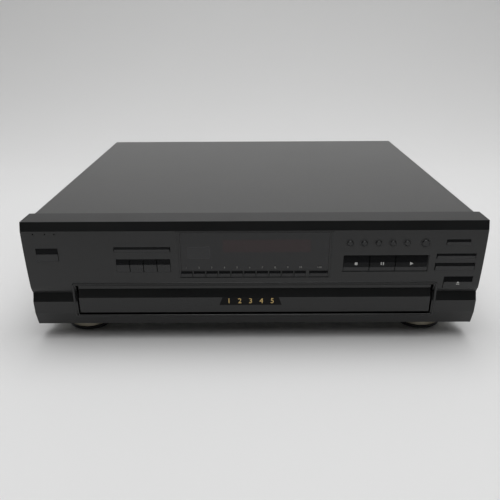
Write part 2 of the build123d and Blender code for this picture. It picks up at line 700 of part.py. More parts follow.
with BuildPart() as traverse_plate:
    add(block(-traverse_half, traverse_half, traverse_front, traverse_rear, traverse_z, traverse_top))
    for y in ear_y:
        add(block(-ear_half, ear_half, y, y + ear_length, traverse_z, traverse_top))
    # opening under the pickup
    add(block(-9, 9, disc_y + 18, traverse_rear - 8, traverse_z - 1, traverse_top + 1),
        mode=Mode.SUBTRACT)
    fillet(traverse_plate.edges().filter_by(Axis.Z), 1.0)
    # spindle motor
    with BuildSketch(Plane.XY.offset(chassis_floor + motor_bottom_gap)):
        with Locations((0, disc_y)):
            Circle(12)
    extrude(amount=traverse_z - chassis_floor - motor_bottom_gap)
    with BuildSketch(Plane.XY.offset(traverse_z - 7)):
        with Locations((0, disc_y)):
            Circle(spindle_radius + pin_fit)
    extrude(amount=7 + traverse_thickness, mode=Mode.SUBTRACT)
    # the pickup's two rods and the blocks that hold them
    near = disc_y + lens_inner - sled_front - sled_stop
    far = disc_y + lens_inner + sled_rear + pickup_travel + sled_stop
    for y in (near - block_thickness, far):
        add(block(-sled_half, sled_half, y, y + block_thickness, traverse_top - 0.5, rod_z + 2.6))
    with BuildSketch(Plane.XZ.offset(-far)):
        with Locations((-rod_x, rod_z), (rod_x, rod_z)):
            Circle(rod_radius)
    extrude(amount=far - near)
finish(traverse_plate.part, "traverse_plate")

with BuildPart() as turntable:
    with BuildSketch(Plane.XZ.offset(-disc_y)):
        with BuildLine():
            Polyline((0, traverse_z - 6), (spindle_radius, traverse_z - 6),
                     (spindle_radius, traverse_top + 0.4), (5, traverse_top + 0.4),
                     (5, disc_plane - turntable_thickness), (turntable_radius, disc_plane - turntable_thickness),
                     (turntable_radius, disc_plane), (hub_radius, disc_plane),
                     (hub_radius - 0.6, disc_plane + hub_height - 0.8),
                     (hub_radius - 1.6, disc_plane + hub_height), (0, disc_plane + hub_height),
                     close=True)
        make_face()
    revolve(axis=Axis((0, disc_y, 0), (0, 0, 1)))
finish(turntable.part, "turntable")

with BuildPart() as pickup_sled:
    lens_y = disc_y + lens_inner
    add(block(-sled_half, sled_half, lens_y - sled_front, lens_y + sled_rear,
              traverse_top + 0.6, sled_top))
    chamfer(pickup_sled.edges().filter_by(Axis.Z), 2.0)
    with BuildSketch(Plane.XZ.offset(-lens_y - sled_rear - 1)):
        with Locations((-rod_x, rod_z), (rod_x, rod_z)):
            Circle(rod_radius + pin_fit)
    extrude(amount=sled_front + sled_rear + 2, mode=Mode.SUBTRACT)
    with BuildSketch(Plane.XY.offset(sled_top)):
        with Locations((0, lens_y)):
            Circle(6)
    extrude(amount=1.2)
    with BuildSketch(Plane.XY.offset(sled_top + 1.2)):
        with Locations((0, lens_y)):
            Circle(3)
    extrude(amount=0.8)
finish(pickup_sled.part, "pickup_sled")

bridge_thickness = 1.2
bridge_half_depth = 14.0
bridge_flange = 6.0
neck_radius, neck_play = 8.0, 1.5
clamp_radius = 15.0
clamp_z = well_z + disc_lift + disc_thickness + 0.4
bridge_top = wall_top + bridge_thickness
with BuildPart() as clamp_bridge:
    add(block(-wall_outer, wall_outer, disc_y - bridge_half_depth, disc_y + bridge_half_depth,
              wall_top, bridge_top))
    for y in (disc_y - bridge_half_depth, disc_y + bridge_half_depth - bridge_thickness):
        add(block(-wall_inner, wall_inner, y, y + bridge_thickness, wall_top, wall_top + bridge_flange))
    with BuildSketch(Plane.XY.offset(wall_top - 1)):
        with Locations((0, disc_y)):
            Circle(neck_radius + neck_play)
        with Locations((-110, disc_y), (-60, disc_y), (110, disc_y)):
            SlotOverall(30, 10)
    extrude(amount=bridge_thickness + 2, mode=Mode.SUBTRACT)
    # post under the main board
    with BuildSketch(Plane.XY.offset(wall_top)):
        with Locations((75, disc_y)):
            Circle(3)
    extrude(amount=board_z - wall_top)
finish(clamp_bridge.part, "clamp_bridge")

with BuildPart() as clamper:
    with BuildSketch(Plane.XZ.offset(-disc_y)):
        with BuildLine():
            Polyline((0, clamp_z + 3.2), (hub_radius + 1.5, clamp_z + 3.2), (hub_radius + 1.5, clamp_z),
                     (clamp_radius, clamp_z), (clamp_radius, clamp_z + 2.5),
                     (neck_radius, clamp_z + 5), (neck_radius, bridge_top + slide_fit),
                     (neck_radius + 4, bridge_top + slide_fit), (neck_radius + 4, bridge_top + 3.2),
                     (0, bridge_top + 3.2), close=True)
        make_face()
    revolve(axis=Axis((0, disc_y, 0), (0, 0, 1)))
finish(clamper.part, "clamper")

# ---------------------------------------------------------------- drawer
front_back_y = front_y + 12.0      # where the drawer's front is fixed to its tray
tray_front = front_back_y
tray_rear = carousel_y + carousel_radius + 2.8
tray_top = tray_z + tray_side_height
tray_wall = 2.5
slot_half = ear_half + 3.0         # the tray is open to the rear over the traverse
slot_front = traverse_front - 8.0
spindle_pin = 4.0
hub_pad = 1.2
gear_distance = gear_module * (hub_teeth + small_teeth) / 2
gear_x = -gear_distance * sin(radians(45))
gear_y = carousel_y - gear_distance * cos(radians(45))
gear_pin = 2.5
rack_low = pulley_z + pulley_thickness + 0.8
rack_pitch = pi * gear_module
hole_radius = carousel_radius + carousel_rim_gap

with BuildPart() as drawer_tray:
    add(block(-tray_half, tray_half, tray_front, tray_rear, tray_z, tray_top))
    # the round hole that the carousel lies in, open to the rear
    with BuildSketch(Plane.XY.offset(tray_z + tray_floor)):
        with Locations((0, carousel_y)):
            Circle(hole_radius)
        with Locations((0, carousel_y + hole_radius)):
            Rectangle(2 * hole_radius, 2 * hole_radius)
    extrude(amount=tray_top, mode=Mode.SUBTRACT)
    # both front corners are hollow from below
    with BuildSketch(Plane.XY.offset(tray_z)):
        with Locations((0, (tray_front + tray_wall + carousel_y) / 2)):
            Rectangle(2 * (tray_half - tray_wall), carousel_y - tray_front - tray_wall)
        with Locations((0, carousel_y)):
            Circle(hole_radius + tray_wall, mode=Mode.SUBTRACT)
    extrude(amount=tray_side_height - tray_wall, mode=Mode.SUBTRACT)
    # slot over the traverse
    with BuildSketch(Plane.XY.offset(tray_z - 1)):
        with Locations((0, (slot_front + tray_rear + 10) / 2)):
            Rectangle(2 * slot_half, tray_rear + 10 - slot_front)
    extrude(amount=tray_side_height, mode=Mode.SUBTRACT)
    fillet(drawer_tray.edges().filter_by(Axis.Z).filter_by(
        lambda edge: abs(edge.center().Y - slot_front) < 0.1), 12)
    # axle of the carousel on its pad, and the pin of the small gear
    for x, y, radius, height in ((0, carousel_y, 8, tray_floor + hub_pad),
                                 (0, carousel_y, spindle_pin, carousel_lift + carousel_height - 0.5),
                                 (gear_x, gear_y, gear_pin, carousel_lift - 1.5)):
        with BuildSketch(Plane.XY.offset(tray_z)):
            with Locations((x, y)):
                Circle(radius)
        extrude(amount=height)
    # rack under the left side, one tooth beside the pinion's axis
    add(block(rack_x + dedendum, rack_x + dedendum + 3.5, pinion_y - 1.5 * rack_pitch, tray_rear,
              rack_low, tray_z + 0.5))
    teeth = int((tray_rear - 2 - pinion_y) / rack_pitch)
    with BuildSketch(Plane.XY.offset(rack_low)):
        with Locations(*[(rack_x, pinion_y + n * rack_pitch) for n in range(-1, teeth + 1)]):
            Polygon((-addendum, -tooth_tip / 2), (dedendum + 0.3, -tooth_root / 2),
                    (dedendum + 0.3, tooth_root / 2), (-addendum, tooth_tip / 2), align=None)
    extrude(amount=tray_z + 0.5 - rack_low)
finish(drawer_tray.part, "drawer_tray")

drawer_front_half = drawer_half - drawer_gap
drawer_front_top = top_z - opening_top_drop - drawer_front_top_gap
drawer_front_bottom = top_z - opening_bottom_drop + drawer_front_bottom_gap
with BuildPart() as drawer_front:
    with BuildSketch(Plane.YZ):
        Polygon((front_back_y, drawer_front_top), (front_y + 4.6, drawer_front_top),
                (front_y + groove_setback, drawer_front_top - 3.4),
                (front_y + skirt_setback, drawer_front_top - 12.6),
                (front_y + skirt_setback + 0.5, drawer_front_bottom + 0.8),
                (front_y + skirt_setback + 1.5, drawer_front_bottom),
                (front_back_y, drawer_front_bottom), align=None)
    extrude(amount=drawer_front_half, both=True)
    offset(amount=-drawer_wall, openings=drawer_front.faces().sort_by(Axis.Y)[-1])
    # ribs that the tray is screwed to
    for x in (-120, -40, 40, 120):
        add(block(x - 3, x + 3, front_y + 8.5, front_back_y, drawer_front_bottom + 1,
                  drawer_front_top - 1))
finish(drawer_front.part, "drawer_front")

slot_width = 2 * (sled_half + 4.0)
rib = 1.6
with BuildPart() as carousel:
    with BuildSketch(Plane.XY.offset(carousel_z)):
        with Locations((0, carousel_y)):
            Circle(carousel_radius)
    extrude(amount=carousel_height)
    with BuildSketch(Plane.XY.offset(well_z)):
        with Locations((0, carousel_y)):
            with PolarLocations(disc_pitch, disc_places, start_angle=90):
                Circle(well_radius)
    extrude(amount=carousel_height, mode=Mode.SUBTRACT)
    with BuildSketch(Plane.XY.offset(well_z - 0.8)):
        with Locations((0, carousel_y)):
            with PolarLocations(disc_pitch, disc_places, start_angle=90):
                Circle(small_disc_diameter / 2 + disc_play)
    extrude(amount=carousel_height, mode=Mode.SUBTRACT)
    # the slot in each well that the turntable and the pickup rise through
    with BuildSketch(Plane.XY.offset(carousel_z - 1)):
        with Locations((0, carousel_y)):
            with PolarLocations(disc_pitch, disc_places, start_angle=90):
                Circle(slot_width / 2)
            with PolarLocations(disc_pitch + well_radius, disc_places, start_angle=90):
                Rectangle(2 * well_radius, slot_width)
    extrude(amount=carousel_height + 2, mode=Mode.SUBTRACT)
    # hollow from below between the wells
    with BuildSketch(Plane.XY.offset(carousel_z - 1)):
        with Locations((0, carousel_y)):
            Circle(carousel_radius - rib)
            Circle(gear_module * hub_teeth / 2 + 4, mode=Mode.SUBTRACT)
            with PolarLocations(disc_pitch, disc_places, start_angle=90):
                Circle(well_radius + rib, mode=Mode.SUBTRACT)
    extrude(amount=carousel_height - 1, mode=Mode.SUBTRACT)
    add(gear(hub_teeth, 0, carousel_y, tray_z + tray_floor + hub_pad + slide_fit,
             carousel_z + 0.5 - tray_z - tray_floor - hub_pad - slide_fit, 45))
    with BuildSketch(Plane.XY.offset(tray_z)):
        with Locations((0, carousel_y)):
            Circle(spindle_pin + pin_fit)
    extrude(amount=carousel_lift + carousel_height + 1, mode=Mode.SUBTRACT)
finish(carousel.part, "carousel")

with BuildPart() as carousel_gear:
    add(gear(small_teeth, gear_x, gear_y, tray_z + tray_floor + slide_fit, carousel_lift - tray_floor - 2.0,
             45 + 180 / small_teeth, gear_pin + pin_fit))
finish(carousel_gear.part, "carousel_gear")

# ---------------------------------------------------------------- electrical parts
board_top = board_z + main_board_thickness
with BuildPart() as main_board:
    add(block(58, wall_outer + 26, carousel_y + 52, panel_front - 2, board_z, board_top))
    add(block(168, 190, carousel_y + 62, carousel_y + 90, board_top, board_top + 3.5))
    add(block(90, 124, carousel_y + 80, carousel_y + 94, board_top, board_top + 4))
    # heat sink with fins
    add(block(70, 73, carousel_y + 110, carousel_y + 160, board_top, board_top + 26))
    for n in range(5):
        y = carousel_y + 112 + n * 11
        add(block(73, 82, y, y + 2, board_top, board_top + 26))
    for places, radius, height in (([(104, 128), (124, 128), (104, 150)], 8, 22),
                                   ([(150, 112), (164, 112), (150, 128), (164, 128)], 4, 12)):
        with BuildSketch(Plane.XY.offset(board_top)):
            with Locations(*[(x, carousel_y + y) for x, y in places]):
                Circle(radius)
        extrude(amount=height)
finish(main_board.part, "main_board")

core_left, core_right = -chassis_half + sheet + 2, -wall_outer - 4
core_front, core_length, core_height = carousel_y + 110, 50.0, 42.0
with BuildPart() as mains_transformer:
    # bracket, laminated core and winding
    add(block(core_left, core_right, core_front - 8, core_front + core_length + 8,
              chassis_floor, chassis_floor + 1.5))
    add(block(core_left, core_right, core_front, core_front + core_length,
              chassis_floor + 1.5, chassis_floor + 1.5 + core_height))
    middle = chassis_floor + 1.5 + core_height / 2
    add(block(core_left + 2, core_right - 2, core_front - 5, core_front + core_length + 5,
              middle - 13, middle + 13))
finish(mains_transformer.part, "mains_transformer")
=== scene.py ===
import json
from math import pi, radians

import bpy
import numpy as np
from mathutils import Matrix, Vector


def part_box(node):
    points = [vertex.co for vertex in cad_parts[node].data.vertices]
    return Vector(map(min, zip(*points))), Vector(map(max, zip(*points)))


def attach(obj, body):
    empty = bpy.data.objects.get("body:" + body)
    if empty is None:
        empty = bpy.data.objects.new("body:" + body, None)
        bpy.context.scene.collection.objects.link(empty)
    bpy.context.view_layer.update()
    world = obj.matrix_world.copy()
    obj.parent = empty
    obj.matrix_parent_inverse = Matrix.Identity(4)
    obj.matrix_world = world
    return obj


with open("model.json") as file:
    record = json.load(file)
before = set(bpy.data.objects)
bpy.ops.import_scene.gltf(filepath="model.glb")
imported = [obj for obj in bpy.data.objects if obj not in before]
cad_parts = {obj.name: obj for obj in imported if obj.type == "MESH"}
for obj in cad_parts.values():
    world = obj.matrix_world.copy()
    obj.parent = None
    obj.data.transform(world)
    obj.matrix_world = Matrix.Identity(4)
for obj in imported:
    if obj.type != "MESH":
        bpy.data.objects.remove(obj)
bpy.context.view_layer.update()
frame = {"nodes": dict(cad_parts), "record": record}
record = frame["record"]
mm = 0.001

# ---------------------------------------------------------------- camera
# The unit is seen from in front and above, from about half a metre, with a lens a little longer
# than normal; the camera stands on the unit's middle line.
lens = bpy.data.cameras.new("front_view")
lens.lens, lens.sensor_width, lens.clip_start, lens.clip_end = 39.72, 36.0, 0.02, 40.0
camera = bpy.data.objects.new("front_view", lens)
camera.matrix_world = (Matrix.Translation((-2.652 * mm, -667.907 * mm, 290.190 * mm))
                       @ Matrix.Rotation(radians(0.164), 4, "Z") @ Matrix.Rotation(radians(67.9), 4, "X")
                       @ Matrix.Rotation(radians(-0.303), 4, "Z"))
bpy.context.scene.collection.objects.link(camera)
bpy.context.scene.camera = camera


# ---------------------------------------------------------------- chassis and rear panel
# The bottom pan and the clamp bridge are pressed from zinc plated steel, folded at the edges and
# screwed together; the rear panel is the same steel with a thin satin black paint.
class Value:
    """A shader socket that can stand in a sum: each operator adds the Math node that works it out."""

    def __init__(self, tree, socket):
        self.tree, self.socket = tree, socket

    def make(self, kind, settings=(), inputs=(), out=0):
        """Adds a node: its settings first, then the values or links of its sockets."""
        node = self.tree.nodes.new(kind)
        for name, setting in dict(settings).items():
            if name == "stops":
                while len(node.color_ramp.elements) < len(setting):
                    node.color_ramp.elements.new(0.5)
                for element, (place, colour) in zip(node.color_ramp.elements, setting):
                    element.position, element.color = place, (*colour, 1)
            else:
                setattr(node, name, setting)
        for name, given in dict(inputs).items():
            if isinstance(given, Value):
                self.tree.links.new(given.socket, node.inputs[name])
            else:
                node.inputs[name].default_value = given
        return Value(self.tree, node.outputs[out])

    def maths(self, operation, first, second=0.0):
        return self.make("ShaderNodeMath", {"operation": operation}, {0: first, 1: second})

    def __add__(self, other): return self.maths("ADD", self, other)
    def __radd__(self, other): return self.maths("ADD", other, self)
    def __sub__(self, other): return self.maths("SUBTRACT", self, other)
    def __rsub__(self, other): return self.maths("SUBTRACT", other, self)
    def __mul__(self, other): return self.maths("MULTIPLY", self, other)
    def __rmul__(self, other): return self.maths("MULTIPLY", other, self)
    def __gt__(self, other): return self.maths("GREATER_THAN", self, other)
    def __lt__(self, other): return self.maths("LESS_THAN", self, other)
    def __abs__(self): return self.maths("ABSOLUTE", self)


def new_finish(name, **constants):
    """A material with its Principled shader's fixed numbers set; gives it with its object coordinates."""
    material = bpy.data.materials.new(name)
    material.use_nodes = True
    tree = material.node_tree
    shader = tree.nodes["Principled BSDF"]
    for socket, number in constants.items():
        shader.inputs[socket.replace("_", " ")].default_value = number
    place = Value(tree, None).make("ShaderNodeTexCoord", out=3)
    return material, tree, shader, place


def noise(place, scale, detail=2.0, stretch=(1, 1, 1)):
    """Noise with so many cells to the metre, stretched by a factor on each axis."""
    moved = place.make("ShaderNodeMapping", {}, {"Vector": place, "Scale": stretch})
    return place.make("ShaderNodeTexNoise", {}, {"Vector": moved, "Scale": scale, "Detail": detail})


def mixed(mask, low, high):
    """A colour between two others, by a mask."""
    ends = [c if isinstance(c, Value) else (*c, 1) for c in (low, high)]
    return mask.make("ShaderNodeMix", {"data_type": "RGBA"}, {0: mask, 6: ends[0], 7: ends[1]}, out=2)


def feed(tree, shader, **links):
    """Links values to the shader's varying sockets; Bump takes a height and a distance."""
    for socket, value in links.items():
        if socket == "Bump":
            height, distance = value
            value = height.make("ShaderNodeBump", {}, {"Height": height, "Distance": distance,
                                                       "Strength": 1.0})
            socket = "Normal"
        tree.links.new(value.socket, shader.inputs[socket.replace("_", " ")])


def paint(slot_name, material):
    """Gives every CAD node whose finish the record names by this slot the material."""
    for part in record["subparts"]:
        if part["material_slot"] == slot_name:
            node = frame["nodes"][part["node"]]
            node.data.materials.clear()
            node.data.materials.append(material)


def speckled(name, dark, light, grain, rough, depth, metallic=0.0, patch=9.0):
    """Two near tones in large soft patches, a fine moulded or sprayed grain, roughness that follows."""
    material, tree, shader, place = new_finish(name, Metallic=metallic)
    patches, fine = noise(place, patch, 3), noise(place, grain, 2)
    feed(tree, shader, Base_Color=mixed(patches * 0.7 + fine * 0.3, dark, light),
         Roughness=(patches - 0.5) * 0.10 + (fine - 0.5) * 0.08 + rough,
         Bump=(fine, depth))
    return material


zinc = speckled("zinc_plate", (0.52, 0.53, 0.52), (0.70, 0.70, 0.67), 260, 0.38, 0.00002, metallic=1.0,
                patch=60)
panel_black = speckled("panel_paint", (0.014, 0.014, 0.015), (0.022, 0.022, 0.023), 900, 0.42, 0.00003)
paint("plated_steel", zinc)
paint("panel_paint", panel_black)

# ---------------------------------------------------------------- rear sockets
# The mains inlet and the line output block are moulded in black nylon and clipped into the panel;
# their contacts are one piece with them here and take the same finish.
socket_black = speckled("socket_nylon", (0.012, 0.012, 0.013), (0.024, 0.024, 0.025), 1200, 0.48, 0.00003)
paint("socket_plastic", socket_black)

# ---------------------------------------------------------------- feet
# Four round feet in black plastic with a band of champagne coloured metal plating round each.
band_low, band_high = 4.0, 11.5         # the plated band, over the floor, in mm
foot, tree, shader, place = new_finish("foot_plastic_and_band")
foot_height = place.make("ShaderNodeSeparateXYZ", {}, {0: place}, out=2)
band = (foot_height > band_low * mm) * (foot_height < band_high * mm)
brushed = noise(place, 300, 2, (1, 1, 8))
feed(tree, shader, Base_Color=mixed(band, mixed(brushed, (0.012, 0.012, 0.013), (0.022, 0.022, 0.022)),
                                    mixed(brushed, (0.40, 0.36, 0.28), (0.55, 0.50, 0.40))),
     Metallic=band * 0.9, Roughness=brushed * 0.15 + 0.50 - band * 0.2, Bump=(brushed, 0.00002))
paint("foot_plastic", foot)

# ---------------------------------------------------------------- loader deck and drive
# The loader base is a black moulding under the drawer. It carries the loading motor, a rubber belt
# and acetal gears; the disc clamper above is acetal too.
paint("deck_plastic", speckled("deck_moulding", (0.016, 0.016, 0.018), (0.030, 0.030, 0.032), 1100, 0.5,
                               0.00004))
paint("tray_plastic", speckled("tray_moulding", (0.020, 0.020, 0.022), (0.034, 0.034, 0.036), 1300, 0.45,
                               0.00003))
paint("acetal", speckled("acetal_white", (0.66, 0.66, 0.61), (0.76, 0.75, 0.70), 500, 0.36, 0.00002))
paint("belt_rubber", speckled("belt_rubber", (0.010, 0.010, 0.010), (0.020, 0.020, 0.019), 1800, 0.72,
                              0.00003))

# ---------------------------------------------------------------- circuit boards and transformer
# The boards are phenolic laminate with a green solder mask over copper tracks; the transformer is a
# stack of dipped iron laminations.
laminate, tree, shader, place = new_finish("board_laminate")
spread = noise(place, 40, 4)
tracks = place.make("ShaderNodeTexBrick", {"offset": 0.35, "squash": 1.0},
                    {"Vector": place, "Scale": 90.0, "Mortar Size": 0.03, "Mortar Smooth": 0.2}, out=1)
feed(tree, shader, Base_Color=mixed(tracks, mixed(spread, (0.02, 0.10, 0.05), (0.03, 0.15, 0.07)),
                                    (0.09, 0.24, 0.11)),
     Roughness=spread * 0.15 + 0.32, Bump=(tracks, 0.00004))
paint("board", laminate)
paint("core_steel", speckled("dipped_laminations", (0.07, 0.065, 0.06), (0.14, 0.13, 0.12), 700, 0.5,
                             0.00005, metallic=0.6))

# ---------------------------------------------------------------- top cover
# One sheet of steel folded down over both sides and sprayed satin black. Low gloss, with a very fine
# orange peel, so that the pale room lies on it as one soft sheen.
cover, tree, shader, place = new_finish("cover_paint", Coat_Weight=0.45, Coat_Roughness=0.30)
peel, haze = noise(place, 1500, 2), noise(place, 6, 3)
feed(tree, shader, Base_Color=mixed(haze, (0.016, 0.016, 0.016), (0.022, 0.0215, 0.021)),
     Roughness=(haze - 0.5) * 0.06 + (peel - 0.5) * 0.05 + 0.36, Bump=(peel, 0.000012))
paint("cover_paint", cover)
paint("screw_steel", speckled("blackened_screws", (0.02, 0.02, 0.02), (0.04, 0.04, 0.04), 900, 0.36,
                              0.00002, metallic=0.7))

# ---------------------------------------------------------------- fascia
# The front is one black ABS moulding with a fine spark texture: an upright face that leans back,
# a crown along its top, a dark groove over the drawer and a lower lip.
fascia_front, panel_top = -193.5, 125.0         # the crown's front, and the top, in mm
black_face, black_face_light = (0.0052, 0.0056, 0.0058), (0.0085, 0.0088, 0.0088)
fascia_black = speckled("fascia_moulding", black_face, black_face_light, 2200, 0.30, 0.000012)
paint("fascia_plastic", fascia_black)


def face_y(up):
    """How far back the front face lies at a height from the panel's top, in mm: straight runs
    between the crown, the foot of the upright face, the groove and the lower lip."""
    return fascia_front + np.interp(-np.asarray(up, float), [0, 8.5, 27, 51, 65, 74, 81, 95, 109],
                                    [2.5, 0, 0.6, 1.9, 3.1, 6.9, 3.5, 4.1, 8.5])


def piece(name, points, faces, material, body="case"):
    """A mesh piece from points in mm and faces; rides on a body and takes a slot's finish."""
    mesh = bpy.data.meshes.new(name)
    mesh.from_pydata((np.asarray(points, float) * mm).tolist(), [], [tuple(map(int, f)) for f in faces])
    mesh.validate()
    mesh.materials.append(material)
    thing = bpy.data.objects.new(name, mesh)
    bpy.context.scene.collection.objects.link(thing)
    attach(thing, body)
    return thing


def print_and_shade_on_face(name, outlines, material, body="case", lift=0.06, face=face_y):
    """Ink, and strips of painted shade, on the front: flat outlines given in X and height, laid on the
    face's own slope, one polygon an outline, and a hair proud of it."""
    points, faces = [], []
    for outline in outlines:
        flat = np.asarray(outline, float)
        faces.append(range(len(points), len(points) + len(flat)))
        points += np.column_stack([flat[:, 0], face(flat[:, 1]) - lift,
                                   panel_top + flat[:, 1]]).tolist()
    return piece(name, points, faces, material, body)


def lettered(name, marks, size, material, body="case", lift=0.06, face=face_y, plane="front"):
    """Plain numerals: each mark's outline is filled by the built-in font, made a mesh, centred on
    its place and laid on the face, X kept and the letter's height turned to the face's height."""
    points, faces = [], []
    for text, x, up in marks:
        curve = bpy.data.curves.new(name, "FONT")
        curve.body, curve.size, curve.align_x, curve.align_y = text, size, "CENTER", "CENTER"
        curve.resolution_u = 3
        shape = bpy.data.objects.new(name, curve)
        bpy.context.scene.collection.objects.link(shape)
        mesh = bpy.data.meshes.new_from_object(shape.evaluated_get(bpy.context.evaluated_depsgraph_get()))
        flat = np.empty(len(mesh.vertices) * 3)
        mesh.vertices.foreach_get("co", flat)
        flat = flat.reshape(-1, 3)
        first = len(points)
        faces += [[first + v for v in polygon.vertices] for polygon in mesh.polygons]
        if plane == "front":
            height = up + flat[:, 1]
            points += np.column_stack([x + flat[:, 0], face(height) - lift, panel_top + height]).tolist()
        else:
            points += np.column_stack([x + flat[:, 0], up + flat[:, 1],
                                       np.full(len(flat), face + lift)]).tolist()
        bpy.data.objects.remove(shape)
        bpy.data.meshes.remove(mesh)
        bpy.data.curves.remove(curve)
    return piece(name, points, faces, material, body)


def ink(name, dark, light, rough=0.5, metallic=0.0, shine=0.5):
    """Screen ink or foil, and the near-black of the painted shade strips: two near tones over a fine
    grain.
    """
    material, tree, shader, place = new_finish(name, Metallic=metallic, Specular_IOR_Level=shine)
    grain = noise(place, 3000, 2)
    colour = mixed(grain, dark, light)
    feed(tree, shader, Base_Color=colour, Roughness=grain * 0.1 + rough, Bump=(grain, 0.000005))
    return material


grey_ink = ink("grey_ink", (0.30, 0.30, 0.28), (0.38, 0.38, 0.36))
pale_ink = ink("pale_ink", (0.50, 0.50, 0.48), (0.60, 0.60, 0.58))
gold_foil = ink("gold_foil", (0.62, 0.44, 0.16), (0.75, 0.55, 0.24), 0.34, 0.6)


def right_arrow(x, up, wide, high):
    """A triangle that points right, centred on a place."""
    return [(x - wide / 2, up - high / 2), (x + wide / 2, up), (x - wide / 2, up + high / 2)]


def left_arrow(x, up, wide, high):
    """The same triangle turned round."""
    return [(x + wide / 2, up + high / 2), (x - wide / 2, up), (x + wide / 2, up - high / 2)]


def bar(x, up, wide, high):
    """An upright or lying bar, centred on a place."""
    return [(x - wide / 2, up - high / 2), (x + wide / 2, up - high / 2),
            (x + wide / 2, up + high / 2), (x - wide / 2, up + high / 2)]


def ring(x, up, radius, width, start=0.0, turn=2 * pi, steps=28):
    """An arc of a ring as one row of small quads, from an angle over a turn."""
    a = start + turn * np.arange(steps + 1) / steps
    outer = np.column_stack([x + radius * np.cos(a), up + radius * np.sin(a)])
    inner = np.column_stack([x + (radius - width) * np.cos(a), up + (radius - width) * np.sin(a)])
    return [[outer[i], outer[i + 1], inner[i + 1], inner[i]] for i in range(steps)]


# the raised line round the drawer's opening, moulded with the fascia
def opening_line(corners, radius, wide, proud, steps=8):
    """A bevelled strip: five points across (foot, edge, crest, edge, foot) carried round a
    rectangle with quarter round corners; each point is the path's own, moved along its outward
    normal, and lies on the face's slope, proud of it by the strip's profile."""
    left, right, low, high = corners
    turn = np.linspace(0, pi / 2, steps)
    path, normal = [], []
    for cx, cz, start in ((right - radius, high - radius, 0), (left + radius, high - radius, pi / 2),
                          (left + radius, low + radius, pi), (right - radius, low + radius, 1.5 * pi)):
        out = np.column_stack([np.cos(start + turn), np.sin(start + turn)])
        path.append(np.array([cx, cz]) + radius * out)
        normal.append(out)
    path, normal = np.vstack(path), np.vstack(normal)
    across = np.array([-0.5, -0.4, 0.1, 0.4, 0.5]) * wide
    rise = np.array([-4.0, 0.55, 1.0, 0.35, -4.0]) * proud
    flat = path[:, None, :] + across[None, :, None] * normal[:, None, :]
    slope = fascia_front + np.interp(flat[..., 1], [-100, -62], [4.6, 3.0])
    points = np.stack([flat[..., 0], slope - rise, panel_top + flat[..., 1]], -1).reshape(-1, 3)
    count, width = len(path), len(across)
    i, j = np.meshgrid(np.arange(count), np.arange(width - 1), indexing="ij")
    k = (i + 1) % count
    faces = np.stack([i * width + j, k * width + j, k * width + j + 1, i * width + j + 1],
                     -1).reshape(-1, 4)
    line = piece("opening_line", points, faces[:, ::-1], fascia_black)
    line.data.polygons.foreach_set("use_smooth", [True] * len(faces))


opening_line((-174.6, 174.6, -98.6, -62.8), radius=3.0, wide=2.6, proud=0.8)

disc_key_x = [88.7, 101.9, 115.2, 128.3, 141.5]
number_x = [-69.4 + 5.3 + 11.95 * n for n in range(10)]
print_and_shade_on_face("transport_marks", [
    *[left_arrow(x, -29.6, 1.5, 1.5) for x in (176.9, 178.3)],
    *[right_arrow(x, -29.6, 1.5, 1.5) for x in (199.9, 201.3)],
    *[left_arrow(x, -39.7, 1.4, 1.4) for x in (177.4, 178.7)], bar(175.9, -39.7, 0.4, 1.5),
    *[right_arrow(x, -39.7, 1.4, 1.4) for x in (199.7, 201.0)], bar(202.2, -39.7, 0.4, 1.5)], grey_ink)
print_and_shade_on_face("power_mark", [*ring(-193.3, -22.0, 1.25, 0.3, radians(125), radians(290)),
                             bar(-193.3, -20.9, 0.3, 1.5)], grey_ink)
lettered("disc_numbers", [(str(n + 1), x, -14.6) for n, x in enumerate(disc_key_x)], 3.1, grey_ink)

# ---------------------------------------------------------------- display window
# A smoked acrylic plate snapped into its pocket, polished, with a black mask printed behind it that
# leaves the red filtered field over the display tube and the remote sensor's eye.
window, tree, shader, place = new_finish("smoked_window", IOR=1.49)


def height_over_floor(place):
    """The height of a surface point, from its object coordinates."""
    return place.make("ShaderNodeSeparateXYZ", {}, {0: place}, out=2)


def field(place, left, right, low, high):
    """One inside a rectangle of the face given in X and height from the panel's top, nought outside:
    the distance from its middle is under half its size, both across and up."""
    across = place.make("ShaderNodeSeparateXYZ", {}, {0: place}, out=0)
    height = height_over_floor(place)
    return ((abs(across - (left + right) / 2 * mm) < (right - left) / 2 * mm)
            * (abs(height - (panel_top + (low + high) / 2) * mm) < (high - low) / 2 * mm))


glass, dots = noise(place, 25, 2), noise(place, 1400, 1)
red_field, eye = field(place, -29.4, 52.5, -30.1, -17.6), field(place, -62.3, -41.3, -36.5, -24.5)
eye_inside = field(place, -61.7, -41.9, -35.9, -25.1)
tint = mixed(red_field, mixed(glass, (0.0030, 0.0034, 0.0042), (0.0050, 0.0054, 0.0062)),
             mixed(dots, (0.013, 0.004, 0.005), (0.022, 0.006, 0.007)))
tint = mixed(eye - eye_inside * 0.6, tint, (0.020, 0.021, 0.023))
feed(tree, shader, Base_Color=tint, Roughness=glass * 0.04 + 0.09, Bump=(glass, 0.00002))
paint("window_plastic", window)
lettered("number_labels", [(str(n + 1), x, -45.6) for n, x in enumerate(number_x)]
         + [(">10", 61.3, -45.6)], 2.7, grey_ink, lift=0.5)

